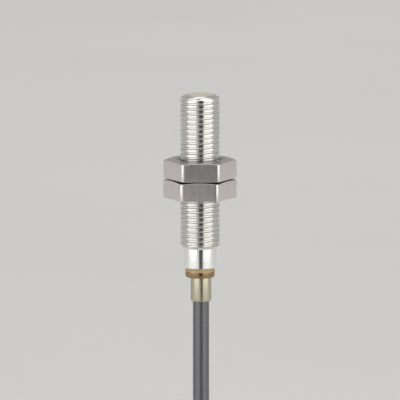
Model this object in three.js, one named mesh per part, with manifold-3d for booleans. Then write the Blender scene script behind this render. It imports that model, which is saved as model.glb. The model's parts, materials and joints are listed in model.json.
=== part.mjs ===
// Cylindrical inductive proximity sensor, M8x1, with two lock nuts and a moulded cable.
// Millimetres. +Z runs along the barrel to the sensing face. The origin is on the barrel's axis,
// in the plane between the two nuts.

import * as THREE from "three";
import { mergeVertices } from "three/addons/utils/BufferGeometryUtils.js";
import Module from "manifold-3d";

const wasm = await Module();
wasm.setup();

// ---- Driving dimensions -------------------------------------------------------------------

const ROUND_SIDES = 24; // facets round a turned piece
const SMALL_SIDES = 16; // facets round a small inner piece
const WIRE_SIDES = 8;
const OVERRUN = 1; // how far a cutter reaches past the face it cuts through

const thread = { pitch: 1.0, crestR: 3.98, rootR: 3.39, crestFlat: 0.125 };

const barrel = {
  faceZ: 17.0, // front rim
  faceR: 2.95, // radius where the front chamfer meets the rim
  chamferZ: 16.5, // foot of the front chamfer
  threadEndZ: -14.2, // where the thread runs out into the smooth rear section
  threadEndChamfer: 0.6,
  tailR: 3.35,
  tailZ: -18.2,
  tailChamfer: 0.2,
  boreR: 2.72,
};

const cap = { outerR: 2.62, innerR: 2.32, topZ: 17.1, floorZ: 16.6, skirtZ: 13.9, edge: 0.12 };

const core = { outerR: 2.2, wallR: 1.8, postR: 0.85, backZ: 14.3, floorZ: 15.0, frontZ: 16.5 };

const bobbin = { innerR: 0.95, hubR: 1.12, flangeR: 1.7, bottomZ: 15.1, topZ: 16.4, flange: 0.15 };

const coil = { innerR: 1.2, outerR: 1.64, bottomZ: 15.32, topZ: 16.18 };

const coilLead = {
  x: 1.4,
  y: 0.45,
  r: 0.09,
  topZ: 15.28,
  bottomZ: 12.4,
  holeR: 0.2,
  slotWidth: 0.5, // the slot in the resin that each lead runs in
  slotDepth: 0.6,
  slotY: 0.4,
};

const board = { width: 3.4, thickness: 0.5, frontZ: 13.4, rearZ: -15.5 };

const resin = { r: 2.6, frontZ: 13.7, rearZ: -16.6, clearance: 0.1 };

const nut = {
  acrossFlats: 13.0,
  cornerR: 7.35, // corners turned to this radius
  faceR: 6.2, // chamfer circle on the upper face; the lower face is flat
  chamferSlope: Math.tan(THREE.MathUtils.degToRad(15)),
  thickness: 3.75,
  gap: 0.15, // from the origin plane to each nut's inner face
  boreR: 4.1, // clears the thread's crests
  countersink: 0.2,
  upperTurn: THREE.MathUtils.degToRad(1.1),
  lowerTurn: THREE.MathUtils.degToRad(-1.5),
};

const ring = {
  spigotR: 2.6,
  spigotZ: -17.5,
  outerR: 3.0,
  topZ: -18.35,
  bottomZ: -20.2,
  edge: 0.35,
  edgeSteps: 3,
  boreR: 2.4,
};

const cableX = 0.2; // the cable's axis is this far from the barrel's

const sleeve = { outerR: 2.1, boreR: 1.75, topZ: -18.6, bottomZ: -25.1, edge: 0.2 };

const cable = { r: 1.65, sides: 8, steps: 12 };

const wire = { r: 0.4, topZ: -14.9, bottomZ: -17.3 };

// The cable is folded into a hank that hangs below the sensor. Its turns lie side by side in X
// and in layers along Y, and the tie pulls their runs together at the waist.
const hank = {
  topZ: -84, // centre of the upper loops
  bottomZ: -150, // centre of the lower loops
  innerR: 12, // innermost turn's loop, to the cable's centre
  turnPitch: 3.5, // from one turn to the next, in the layer
  turns: 3, // in each layer
  layerPitch: 3.35,
  layers: 3,
  pinch: 10.2, // how far the waist pulls each run inwards
  margin: 0.1, // room round the turns
  holeEnd: 0.8, // half-width at which the opening inside the loops ends, near the waist
  runSteps: 16,
  outerArcSteps: 12,
  innerArcSteps: 10,
};
const outerTurnR = hank.innerR + (hank.turns - 1) * hank.turnPitch;
const layersHalf = ((hank.layers - 1) * hank.layerPitch) / 2;

// The lead runs straight down out of the barrel, then eases over to the hank's outermost run at
// the back. This piece of it stops short of the upper loops.
const lead = { startZ: -17.8, bendZ: -48, endZ: -62, straightSteps: 8, bendSteps: 5 };

const tie = {
  width: 2.5,
  thickness: 1.0,
  clearance: 0.35,
  cornerR: 0.8,
  head: [4.4, 2.6, 4.4],
  headGap: 0.2, // from the strap's inner face to the head's
};

const coreEnd = { r: 0.55, topZ: -127, bottomZ: -143.5, closeX: 1.2, spreadX: 4, steps: 8 };

const ferrule = { r: 0.75, length: 6, gap: 0.3, sides: 12 };

// ---- Materials ------------------------------------------------------------------------------

const finish = (color, roughness, metalness, extra = {}) =>
  new THREE.MeshStandardMaterial({ color, roughness, metalness, ...extra });

const finishes = {
  steel: () => finish("#b9b6b0", 0.25, 1),
  brushedSteel: () => finish("#8f8a85", 0.4, 1),
  facePlastic: () => finish("#c5bfb0", 0.6, 0),
  amber: () => finish("#b08a4e", 0.3, 0, { transparent: true, opacity: 0.85 }),
  sleeveRubber: () => finish("#b9b190", 0.6, 0),
  cableSheath: () => finish("#5e5d63", 0.5, 0),
  ferrite: () => finish("#2c2b2d", 0.7, 0.1),
  nylon: () => finish("#e8e3d3", 0.5, 0),
  copper: () => finish("#b5683a", 0.35, 1),
  laminate: () => finish("#2f6b3c", 0.5, 0),
  chip: () => finish("#1f1f21", 0.6, 0),
  ceramic: () => finish("#a9865c", 0.5, 0),
  lamp: () => finish("#f0d58a", 0.2, 0),
  resin: () => finish("#3a3631", 0.3, 0),
  brown: () => finish("#6b3f24", 0.5, 0),
  blue: () => finish("#2458a6", 0.5, 0),
  black: () => finish("#1b1b1d", 0.5, 0),
  tinned: () => finish("#c9c9c6", 0.35, 1),
};

// ---- Solids ---------------------------------------------------------------------------------

// A geometry with shared vertices, no collapsed triangles and its faces pointing out.
function closed(geometry) {
  const bare = geometry.clone();
  bare.deleteAttribute("normal");
  bare.deleteAttribute("uv");
  const merged = mergeVertices(bare, 1e-4);
  const position = merged.getAttribute("position");
  const index = Array.from(merged.getIndex().array);
  const corner = [new THREE.Vector3(), new THREE.Vector3(), new THREE.Vector3()];
  const kept = [];
  let volume = 0;
  for (let i = 0; i < index.length; i += 3) {
    const [a, b, c] = index.slice(i, i + 3);
    if (a === b || b === c || c === a) continue;
    [a, b, c].forEach((vertex, k) => corner[k].fromBufferAttribute(position, vertex));
    volume += corner[0].dot(corner[1].clone().cross(corner[2]));
    kept.push([a, b, c]);
  }
  if (volume < 0) kept.forEach((triangle) => triangle.reverse());
  const result = new THREE.BufferGeometry();
  result.setAttribute("position", position);
  result.setIndex(kept.flat());
  return result;
}

function solid(geometry) {
  const mesh = closed(geometry);
  return new wasm.Manifold(
    new wasm.Mesh({
      numProp: 3,
      vertProperties: new Float32Array(mesh.getAttribute("position").array),
      triVerts: new Uint32Array(mesh.getIndex().array),
    }),
  );
}

function geometryOf(manifold) {
  const mesh = manifold.getMesh();
  const geometry = new THREE.BufferGeometry();
  geometry.setAttribute("position", new THREE.BufferAttribute(new Float32Array(mesh.vertProperties), 3));
  geometry.setIndex(Array.from(mesh.triVerts));
  geometry.computeVertexNormals();
  return geometry;
}

// A turned piece about +Z from an outline of [radius, z] points. The outline starts and ends on
// the axis, or closes on itself round a hole.
function turned(outline, sides = ROUND_SIDES) {
  const points = outline.map(([r, z]) => new THREE.Vector2(r, z));
  if (outline[0][0] > 0) points.push(points[0].clone());
  return new THREE.LatheGeometry(points, sides).rotateX(Math.PI / 2);
}

// An upright round bar or hole.
function upright(r, bottomZ, topZ, x = 0, y = 0, sides = SMALL_SIDES) {
  const height = topZ - bottomZ;
  return new THREE.CylinderGeometry(r, r, height, sides)
    .rotateX(Math.PI / 2)
    .translate(x, y, bottomZ + height / 2);
}

function block([width, depth, height], [x, y, z]) {
  return new THREE.BoxGeometry(width, depth, height).translate(x, y, z);
}

function tube(points, r, sides, steps) {
  const section = new THREE.Shape();
  for (let side = 0; side < sides; side++) {
    const angle = (2 * Math.PI * side) / sides;
    const corner = [r * Math.cos(angle), r * Math.sin(angle)];
    if (side === 0) section.moveTo(...corner);
    else section.lineTo(...corner);
  }
  section.closePath();
  const path = new THREE.CatmullRomCurve3(points.map((p) => new THREE.Vector3(...p)));
  return new THREE.ExtrudeGeometry(section, { steps, extrudePath: path, bevelEnabled: false });
}

// ---- Barrel -----------------------------------------------------------------------------------

// A right-hand threaded rod. Each column of vertices climbs by a share of the pitch, so the
// crests and roots run along the helix, and the rows beyond either end gather on its rim.
function threadedRod(bottomZ, topZ) {
  const halfCrest = thread.crestFlat / 2;
  const profile = [
    [0, thread.rootR],
    [0.5 - halfCrest, thread.crestR],
    [0.5 + halfCrest, thread.crestR],
  ];
  const turnsNeeded = Math.ceil((topZ - bottomZ) / thread.pitch) + 3;
  const rows = turnsNeeded * profile.length;
  const vertices = [];
  for (let column = 0; column < ROUND_SIDES; column++) {
    const share = column / ROUND_SIDES;
    const angle = 2 * Math.PI * share;
    for (let row = 0; row < rows; row++) {
      const [offset, profileR] = profile[row % profile.length];
      const turn = Math.floor(row / profile.length) - 2;
      const z = bottomZ + thread.pitch * (turn + share + offset);
      const inside = z > bottomZ && z < topZ;
      const r = inside ? profileR : thread.rootR;
      vertices.push(r * Math.cos(angle), r * Math.sin(angle), THREE.MathUtils.clamp(z, bottomZ, topZ));
    }
  }
  const bottomCentre = vertices.length / 3;
  vertices.push(0, 0, bottomZ);
  const topCentre = bottomCentre + 1;
  vertices.push(0, 0, topZ);

  const at = (column, row) => {
    const wrapped = column === ROUND_SIDES;
    const shifted = wrapped ? row + profile.length : row;
    return (wrapped ? 0 : column) * rows + Math.min(shifted, rows - 1);
  };
  const index = [];
  for (let column = 0; column < ROUND_SIDES; column++) {
    for (let row = 0; row < rows - 1; row++) {
      const [a, b] = [at(column, row), at(column + 1, row)];
      const [c, d] = [at(column + 1, row + 1), at(column, row + 1)];
      index.push(a, b, c, a, c, d);
    }
    index.push(bottomCentre, at(column + 1, 0), at(column, 0));
    index.push(topCentre, at(column, rows - 1), at(column + 1, rows - 1));
  }
  const geometry = new THREE.BufferGeometry();
  geometry.setAttribute("position", new THREE.Float32BufferAttribute(vertices, 3));
  geometry.setIndex(index);
  return geometry;
}

function housingBarrel() {
  const beyondCrest = thread.crestR + OVERRUN;
  const envelope = turned([
    [0, barrel.threadEndZ],
    [barrel.tailR, barrel.threadEndZ],
    [thread.crestR, barrel.threadEndZ + barrel.threadEndChamfer],
    [beyondCrest, barrel.threadEndZ + barrel.threadEndChamfer],
    [beyondCrest, barrel.chamferZ],
    [thread.crestR, barrel.chamferZ],
    [barrel.faceR, barrel.faceZ],
    [0, barrel.faceZ],
  ]);
  const intoThread = barrel.threadEndZ + barrel.threadEndChamfer;
  const tail = turned([
    [0, barrel.tailZ],
    [barrel.tailR - barrel.tailChamfer, barrel.tailZ],
    [barrel.tailR, barrel.tailZ + barrel.tailChamfer],
    [barrel.tailR, intoThread],
    [0, intoThread],
  ]);
  const bore = upright(barrel.boreR, barrel.tailZ - OVERRUN, barrel.faceZ + OVERRUN, 0, 0, ROUND_SIDES);
  const rod = solid(threadedRod(barrel.threadEndZ, barrel.faceZ)).intersect(solid(envelope));
  return geometryOf(rod.add(solid(tail)).subtract(solid(bore)));
}

// ---- Sensing head -----------------------------------------------------------------------------

function sensingFaceCap() {
  return turned([
    [0, cap.floorZ],
    [cap.innerR, cap.floorZ],
    [cap.innerR, cap.skirtZ],
    [cap.outerR, cap.skirtZ],
    [cap.outerR, cap.topZ - cap.edge],
    [cap.outerR - cap.edge, cap.topZ],
    [0, cap.topZ],
  ]);
}

// Two small holes through the back of the pot core and the bobbin let the coil's leads out.
function leadHoles(topZ) {
  const bottomZ = core.backZ - OVERRUN;
  const [left, right] = [-1, 1].map((side) =>
    solid(upright(coilLead.holeR, bottomZ, topZ, side * coilLead.x, coilLead.y)),
  );
  return left.add(right);
}

function ferriteCore() {
  const pot = turned([
    [0, core.backZ],
    [core.outerR, core.backZ],
    [core.outerR, core.frontZ],
    [core.wallR, core.frontZ],
    [core.wallR, core.floorZ],
    [core.postR, core.floorZ],
    [core.postR, core.frontZ],
    [0, core.frontZ],
  ]);
  return geometryOf(solid(pot).subtract(leadHoles(bobbin.bottomZ)));
}

function coilBobbin() {
  const spool = turned([
    [bobbin.innerR, bobbin.bottomZ],
    [bobbin.flangeR, bobbin.bottomZ],
    [bobbin.flangeR, bobbin.bottomZ + bobbin.flange],
    [bobbin.hubR, bobbin.bottomZ + bobbin.flange],
    [bobbin.hubR, bobbin.topZ - bobbin.flange],
    [bobbin.flangeR, bobbin.topZ - bobbin.flange],
    [bobbin.flangeR, bobbin.topZ],
    [bobbin.innerR, bobbin.topZ],
  ]);
  return geometryOf(solid(spool).subtract(leadHoles(coil.bottomZ)));
}

function sensingCoil() {
  return turned([
    [coil.innerR, coil.bottomZ],
    [coil.outerR, coil.bottomZ],
    [coil.outerR, coil.topZ],
    [coil.innerR, coil.topZ],
  ]);
}

// ---- Electronics ------------------------------------------------------------------------------

const boardMiddleZ = (board.frontZ + board.rearZ) / 2;
const boardLength = board.frontZ - board.rearZ;

// side is +1 on the board's +Y face and -1 on its -Y face. size is [across, high, along].
const components = [
  { name: "oscillator_chip", look: "chip", side: 1, x: 0, z: 8.5, size: [2.2, 0.9, 3.2] },
  { name: "tuning_capacitor", look: "ceramic", side: 1, x: -0.85, z: 4.9, size: [0.8, 0.6, 1.6] },
  { name: "trim_resistor", look: "chip", side: 1, x: 0.85, z: 4.9, size: [0.8, 0.45, 1.6] },
  { name: "led_resistor", look: "chip", side: 1, x: 0, z: -8.5, size: [0.8, 0.45, 1.6] },
  { name: "status_led_back", look: "lamp", side: 1, x: 0, z: -12.6, size: [1.0, 0.6, 1.6] },
  { name: "protection_diode", look: "chip", side: -1, x: 0, z: 3, size: [1.4, 1.0, 2.4] },
  { name: "output_transistor", look: "chip", side: -1, x: 0, z: -3, size: [1.6, 0.95, 2.9] },
  { name: "supply_capacitor", look: "ceramic", side: -1, x: 0, z: -8.5, size: [1.3, 1.1, 2.0] },
  { name: "status_led_front", look: "lamp", side: -1, x: 0, z: -12.6, size: [1.0, 0.6, 1.6] },
];

const solderGap = 0.05;

function componentBlock({ side, x, z, size }, grow = 0) {
  const y = side * (board.thickness / 2 + solderGap + size[1] / 2);
  return block(
    size.map((length) => length + 2 * grow),
    [x, y, z],
  );
}

// The three cores, at their places on the cable's end inside the barrel.
const wires = [
  { colour: "brown", x: -0.85, y: 0.75 },
  { colour: "blue", x: 0.1, y: -0.8 },
  { colour: "black", x: 1.0, y: 0.75 },
];

// Resin fills the bore. It is cast round the board, the parts, the cores and the coil's leads.
function pottingCompound() {
  const gap = resin.clearance;
  const boardSlot = block(
    [board.width + 2 * gap, board.thickness + 2 * gap, resin.frontZ - resin.rearZ + 2 * OVERRUN],
    [0, 0, (resin.frontZ + resin.rearZ) / 2],
  );
  let filling = solid(upright(resin.r, resin.rearZ, resin.frontZ, 0, 0, ROUND_SIDES));
  filling = filling.subtract(solid(boardSlot));
  for (const component of components) {
    filling = filling.subtract(solid(componentBlock(component, gap)));
  }
  for (const { x, y } of wires) {
    filling = filling.subtract(solid(upright(wire.r + gap, resin.rearZ - OVERRUN, wire.topZ + gap, x, y)));
  }
  for (const side of [-1, 1]) {
    const slot = block(
      [coilLead.slotWidth, coilLead.slotDepth, 2 * (resin.frontZ - coilLead.bottomZ)],
      [side * coilLead.x, coilLead.slotY, resin.frontZ],
    );
    filling = filling.subtract(solid(slot));
  }
  return geometryOf(filling);
}

// ---- Nuts -------------------------------------------------------------------------------------

function lockNut(bottomZ, turn) {
  const topZ = bottomZ + nut.thickness;
  const drop = (nut.cornerR - nut.faceR) * nut.chamferSlope;
  const sharpCornerR = nut.acrossFlats / 2 / Math.cos(Math.PI / 6);
  const hexagon = new THREE.CylinderGeometry(sharpCornerR, sharpCornerR, nut.thickness, 6)
    .rotateX(Math.PI / 2)
    .rotateZ(Math.PI / 6 + turn)
    .translate(0, 0, bottomZ + nut.thickness / 2);
  const chamfered = turned(
    [
      [0, bottomZ],
      [nut.cornerR, bottomZ],
      [nut.cornerR, topZ - drop],
      [nut.faceR, topZ],
      [0, topZ],
    ],
    2 * ROUND_SIDES,
  );
  const bore = turned([
    [0, bottomZ - OVERRUN],
    [nut.boreR + nut.countersink + OVERRUN, bottomZ - OVERRUN],
    [nut.boreR, bottomZ + nut.countersink],
    [nut.boreR, topZ - nut.countersink],
    [nut.boreR + nut.countersink + OVERRUN, topZ + OVERRUN],
    [0, topZ + OVERRUN],
  ]);
  return geometryOf(solid(hexagon).intersect(solid(chamfered)).subtract(solid(bore)));
}

// ---- Rear ring, sleeve and cable ----------------------------------------------------------------

function lightRing() {
  const edgeArc = Array.from({ length: ring.edgeSteps + 1 }, (_, step) => {
    const angle = (step * Math.PI) / 2 / ring.edgeSteps;
    return [
      ring.outerR - ring.edge + ring.edge * Math.sin(angle),
      ring.bottomZ + ring.edge - ring.edge * Math.cos(angle),
    ];
  });
  return turned([
    [ring.boreR, ring.bottomZ],
    ...edgeArc,
    [ring.outerR, ring.topZ],
    [ring.spigotR, ring.topZ],
    [ring.spigotR, ring.spigotZ],
    [ring.boreR, ring.spigotZ],
  ]);
}

function cableSleeve() {
  return turned([
    [sleeve.boreR, sleeve.bottomZ],
    [sleeve.outerR - sleeve.edge, sleeve.bottomZ],
    [sleeve.outerR, sleeve.bottomZ + sleeve.edge],
    [sleeve.outerR, sleeve.topZ],
    [sleeve.boreR, sleeve.topZ],
  ]).translate(cableX, 0, 0);
}

// Rises gently from 0 to 1 and levels off.
const eased = (share) => (1 - Math.cos(Math.PI * share)) / 2;

function leadRoute() {
  const points = [];
  for (let i = 0; i <= lead.straightSteps; i++) {
    points.push([cableX, 0, lead.startZ + ((lead.bendZ - lead.startZ) * i) / lead.straightSteps]);
  }
  for (let i = 1; i <= lead.bendSteps; i++) {
    const z = lead.bendZ + ((lead.endZ - lead.bendZ) * i) / lead.bendSteps;
    const over = eased((lead.bendZ - z) / (lead.bendZ - hank.topZ));
    points.push([cableX - (cableX + outerTurnR) * over, layersHalf * over, z]);
  }
  return points;
}

// How far a run of the hank is from the hank's middle, at a height between the loops' centres.
function runX(z, loopX) {
  const share = (z - hank.bottomZ) / (hank.topZ - hank.bottomZ);
  return loopX - hank.pinch * eased(2 * share);
}

// [x, z] points round the half circle of the upper or lower loops, counterclockwise.
function loopArc(upper, r, steps) {
  const [centreZ, side] = upper ? [hank.topZ, 1] : [hank.bottomZ, -1];
  return Array.from({ length: steps + 1 }, (_, i) => {
    const angle = (Math.PI * i) / steps;
    return [side * r * Math.cos(angle), centreZ + side * r * Math.sin(angle)];
  });
}

function hankSolid() {
  const outerX = outerTurnR + cable.r + hank.margin;
  const innerX = hank.innerR - cable.r - hank.margin;
  const depth = 2 * (layersHalf + cable.r + hank.margin);
  const heights = Array.from(
    { length: hank.runSteps - 1 },
    (_, i) => hank.bottomZ + ((hank.topZ - hank.bottomZ) * (i + 1)) / hank.runSteps,
  );
  const rightSide = heights.map((z) => [runX(z, outerX), z]);
  const leftSide = heights.map((z) => [-runX(z, outerX), z]).reverse();
  const outline = [
    ...rightSide,
    ...loopArc(true, outerX, hank.outerArcSteps),
    ...leftSide,
    ...loopArc(false, outerX, hank.outerArcSteps),
  ];
  const shape = new THREE.Shape(outline.map(([x, z]) => new THREE.Vector2(x, z)));

  const openHeights = heights.filter((z) => runX(z, innerX) > hank.holeEnd);
  const middleZ = (hank.topZ + hank.bottomZ) / 2;
  for (const upper of [true, false]) {
    const side = openHeights.filter((z) => z > middleZ === upper);
    const right = side.map((z) => [runX(z, innerX), z]);
    const left = side.map((z) => [-runX(z, innerX), z]).reverse();
    const arc = loopArc(upper, innerX, hank.innerArcSteps);
    const opening = upper ? [...right, ...arc, ...left] : [...left, ...arc, ...right];
    shape.holes.push(new THREE.Path(opening.map(([x, z]) => new THREE.Vector2(x, z))));
  }
  return new THREE.ExtrudeGeometry(shape, { depth, bevelEnabled: false, curveSegments: 1 })
    .rotateX(Math.PI / 2)
    .translate(0, depth / 2, 0);
}

function roundedRectangle(halfX, halfY, r) {
  const path = new THREE.Path();
  path.moveTo(halfX - r, -halfY);
  path.absarc(halfX - r, -halfY + r, r, -Math.PI / 2, 0);
  path.absarc(halfX - r, halfY - r, r, 0, Math.PI / 2);
  path.absarc(-halfX + r, halfY - r, r, Math.PI / 2, Math.PI);
  path.absarc(-halfX + r, -halfY + r, r, Math.PI, 1.5 * Math.PI);
  path.closePath();
  return path.getPoints(3);
}

function cableTie() {
  const waistZ = (hank.topZ + hank.bottomZ) / 2;
  const round = cable.r + hank.margin + tie.clearance;
  const [innerX, innerY] = [outerTurnR - hank.pinch + round, layersHalf + round];
  const strap = new THREE.Shape(
    roundedRectangle(innerX + tie.thickness, innerY + tie.thickness, tie.cornerR + tie.thickness),
  );
  strap.holes.push(new THREE.Path(roundedRectangle(innerX, innerY, tie.cornerR)));
  const band = new THREE.ExtrudeGeometry(strap, { depth: tie.width, bevelEnabled: false });
  band.translate(0, 0, waistZ - tie.width / 2);
  const head = block(tie.head, [0, -innerY - tie.headGap - tie.head[1] / 2, waistZ]);
  return geometryOf(solid(band).add(solid(head)));
}

// The three stripped cores fan out below the tie, inside the lower loops.
const coreEnds = [
  { colour: "brown", side: -1 },
  { colour: "blue", side: 0 },
  { colour: "black", side: 1 },
];

function coreEndPath(side) {
  const { topZ, bottomZ, closeX, spreadX } = coreEnd;
  return [0, 0.25, 0.5, 0.75, 1].map((share) => [
    side * (closeX + (spreadX - closeX) * eased(share)),
    -layersHalf,
    topZ + (bottomZ - topZ) * share,
  ]);
}

// ---- Assembly -----------------------------------------------------------------------------------

const sensor = new THREE.Group();

function place(name, geometry, look) {
  const mesh = new THREE.Mesh(closed(geometry), finishes[look]());
  mesh.geometry.computeVertexNormals();
  mesh.name = name;
  sensor.add(mesh);
}

place("housing_barrel", housingBarrel(), "steel");
place("sensing_face_cap", sensingFaceCap(), "facePlastic");
place("ferrite_core", ferriteCore(), "ferrite");
place("coil_bobbin", coilBobbin(), "nylon");
place("sensing_coil", sensingCoil(), "copper");
for (const [name, side] of [["coil_lead_left", -1], ["coil_lead_right", 1]]) {
  const { r, bottomZ, topZ, x, y } = coilLead;
  place(name, upright(r, bottomZ, topZ, side * x, y, WIRE_SIDES), "copper");
}
place("circuit_board", block([board.width, board.thickness, boardLength], [0, 0, boardMiddleZ]), "laminate");
for (const component of components) {
  place(component.name, componentBlock(component), component.look);
}
place("potting_compound", pottingCompound(), "resin");
for (const { colour, x, y } of wires) {
  place(`inner_core_${colour}`, upright(wire.r, wire.bottomZ, wire.topZ, x, y, WIRE_SIDES), colour);
}
place("upper_nut", lockNut(nut.gap, nut.upperTurn), "brushedSteel");
place("lower_nut", lockNut(-nut.gap - nut.thickness, nut.lowerTurn), "brushedSteel");
place("light_ring", lightRing(), "amber");
place("cable_sleeve", cableSleeve(), "sleeveRubber");
place("cable_lead", tube(leadRoute(), cable.r, cable.sides, cable.steps), "cableSheath");
place("cable_hank", hankSolid(), "cableSheath");
place("cable_tie", cableTie(), "black");
for (const { colour, side } of coreEnds) {
  const tipZ = coreEnd.bottomZ - ferrule.gap;
  const crimp = upright(
    ferrule.r,
    tipZ - ferrule.length,
    tipZ,
    side * coreEnd.spreadX,
    -layersHalf,
    ferrule.sides,
  );
  place(`core_end_${colour}`, tube(coreEndPath(side), coreEnd.r, WIRE_SIDES, coreEnd.steps), colour);
  place(`core_ferrule_${colour}`, crimp, "tinned");
}

export default sensor;
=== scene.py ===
"""Cylindrical inductive proximity sensor with two lock nuts and a moulded cable: the looks.

Lengths are in metres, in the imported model's frame: +Z along the barrel to the sensing face, the
origin on the barrel's axis between the two nuts.
"""

import json
import math

import bmesh
import bpy
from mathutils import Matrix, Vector


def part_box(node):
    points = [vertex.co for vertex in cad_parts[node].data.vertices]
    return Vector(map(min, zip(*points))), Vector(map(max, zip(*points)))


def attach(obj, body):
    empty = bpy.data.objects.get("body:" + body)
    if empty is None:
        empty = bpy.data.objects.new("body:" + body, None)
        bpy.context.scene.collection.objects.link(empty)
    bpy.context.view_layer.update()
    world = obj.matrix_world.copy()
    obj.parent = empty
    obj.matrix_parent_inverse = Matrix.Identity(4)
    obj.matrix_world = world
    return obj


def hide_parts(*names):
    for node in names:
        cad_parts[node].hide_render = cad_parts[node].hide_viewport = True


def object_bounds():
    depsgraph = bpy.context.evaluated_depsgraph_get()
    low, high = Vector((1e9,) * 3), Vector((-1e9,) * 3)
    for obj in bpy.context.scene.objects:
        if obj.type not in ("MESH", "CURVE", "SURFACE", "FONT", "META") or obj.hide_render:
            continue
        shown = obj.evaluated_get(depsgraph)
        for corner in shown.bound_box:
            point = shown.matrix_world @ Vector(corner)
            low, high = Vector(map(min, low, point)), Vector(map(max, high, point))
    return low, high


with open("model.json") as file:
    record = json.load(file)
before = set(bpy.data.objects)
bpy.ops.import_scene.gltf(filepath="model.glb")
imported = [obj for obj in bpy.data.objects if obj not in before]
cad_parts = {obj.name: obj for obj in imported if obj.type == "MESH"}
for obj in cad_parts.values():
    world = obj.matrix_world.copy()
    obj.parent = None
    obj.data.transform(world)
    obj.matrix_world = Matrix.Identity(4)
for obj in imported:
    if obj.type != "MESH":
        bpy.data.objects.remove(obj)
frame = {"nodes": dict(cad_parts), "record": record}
cad_low, cad_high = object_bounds()

MM = 0.001
TAU = 2 * math.pi

# ---- Sizes ------------------------------------------------------------------------------------

barrel_low, barrel_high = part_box("housing_barrel")
cap_low, cap_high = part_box("sensing_face_cap")
ring_low, ring_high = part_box("light_ring")
sleeve_low, sleeve_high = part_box("cable_sleeve")
tie_low, tie_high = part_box("cable_tie")

CREST_R = barrel_high.x
FACE_Z = barrel_high.z
TAIL_Z = barrel_low.z
THREAD_END_Z = -14.2 * MM  # where the thread runs out into the smooth rear section
PITCH = 1.0 * MM
NUT_BORE_R = 4.03 * MM
CABLE_D = 3.3 * MM
CABLE_X = (sleeve_low.x + sleeve_high.x) / 2

# ---- Camera -----------------------------------------------------------------------------------

VIEW_WIDTH = 80.8 * MM
ELEVATION = math.radians(9)
CAMERA_FAR = 1.2
AIM = Vector((0, 0, -4.5 * MM))
SENSOR_WIDTH = 36  # in the millimetres that Blender measures a lens in
CLIP_NEAR, CLIP_FAR = 0.01, 50


def make_camera():
    data = bpy.data.cameras.new("camera")
    data.sensor_width = SENSOR_WIDTH
    data.lens = SENSOR_WIDTH * CAMERA_FAR / VIEW_WIDTH
    data.clip_start, data.clip_end = CLIP_NEAR, CLIP_FAR
    camera = bpy.data.objects.new("camera", data)
    back = Vector((0, -math.cos(ELEVATION), math.sin(ELEVATION)))
    camera.location = AIM + CAMERA_FAR * back
    camera.rotation_euler = back.to_track_quat("Z", "Y").to_euler()
    bpy.context.scene.collection.objects.link(camera)
    bpy.context.scene.camera = camera


make_camera()

# ---- Cable route ------------------------------------------------------------------------------

# The lead runs straight down, then eases over to the hank's outermost run at the back.
LEAD_START_Z = -17.8 * MM
BEND_Z = -48 * MM
STRAIGHT_STEPS = 8
BEND_STEPS = 9

# The hank: turns side by side in X and layers along Y, pulled in at the waist by the tie.
LOOP_R = [19 * MM, 15.5 * MM, 12 * MM]  # the turns' loops, to the cable's centre, outermost first
LAYER_Y = [3.35 * MM, 0, -3.35 * MM]  # back to front
LOOPS_TOP_Z = -84 * MM
LOOPS_BOTTOM_Z = -150 * MM
PINCH = 10.2 * MM
RUN_STEPS = 20
ARC_STEPS = 18
CROSSING_LIFT = 1.3 * MM  # the arc from one layer to the next passes this far above its neighbours
TAIL_ENDS = [(-1.3, -120.6), (-0.4, -124.0), (0, -126.9)]  # x and z after the waist, in mm
STEPS_BETWEEN = 2  # points of the smooth curve from one point of the route to the next
CABLE_BEVEL = 6  # how finely its section is rounded


def eased(share):
    """Rises gently from 0 to 1 and levels off."""
    return (1 - math.cos(math.pi * share)) / 2


def lead_route():
    """From inside the barrel down to the top of the hank's first run, without that last point."""
    points = []
    for i in range(STRAIGHT_STEPS + 1):
        z = LEAD_START_Z + (BEND_Z - LEAD_START_Z) * i / STRAIGHT_STEPS
        points.append(Vector((CABLE_X, 0, z)))
    for i in range(1, BEND_STEPS):
        over = eased(i / BEND_STEPS)
        z = BEND_Z + (LOOPS_TOP_Z - BEND_Z) * i / BEND_STEPS
        points.append(Vector((CABLE_X - (CABLE_X + LOOP_R[0]) * over, LAYER_Y[0] * over, z)))
    return points


def run_x(z, loop_x):
    """A run's distance from the hank's middle, pulled in towards the waist."""
    share = (z - LOOPS_BOTTOM_Z) / (LOOPS_TOP_Z - LOOPS_BOTTOM_Z)
    return loop_x - PINCH * eased(2 * share)


def run(side, loop_r, y, from_z, to_z, steps=RUN_STEPS):
    """Points along one run of the hank. side is -1 on the left and +1 on the right."""
    points = []
    for i in range(steps + 1):
        z = from_z + (to_z - from_z) * i / steps
        points.append(Vector((side * run_x(z, loop_r), y, z)))
    return points


def arc(from_x, to_x, from_y, to_y, z, down):
    """Points round the half circle that joins two runs, without its two ends."""
    centre, r = (from_x + to_x) / 2, abs(to_x - from_x) / 2
    points = []
    for i in range(1, ARC_STEPS):
        angle = math.pi * i / ARC_STEPS
        x = centre + (from_x - centre) * math.cos(angle)
        rise = r * math.sin(angle)
        lift = CROSSING_LIFT * math.sin(angle) if from_y != to_y else 0
        y = from_y + (to_y - from_y) * eased(i / ARC_STEPS)
        points.append(Vector((x, y, z + (lift - rise if down else rise))))
    return points


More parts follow.
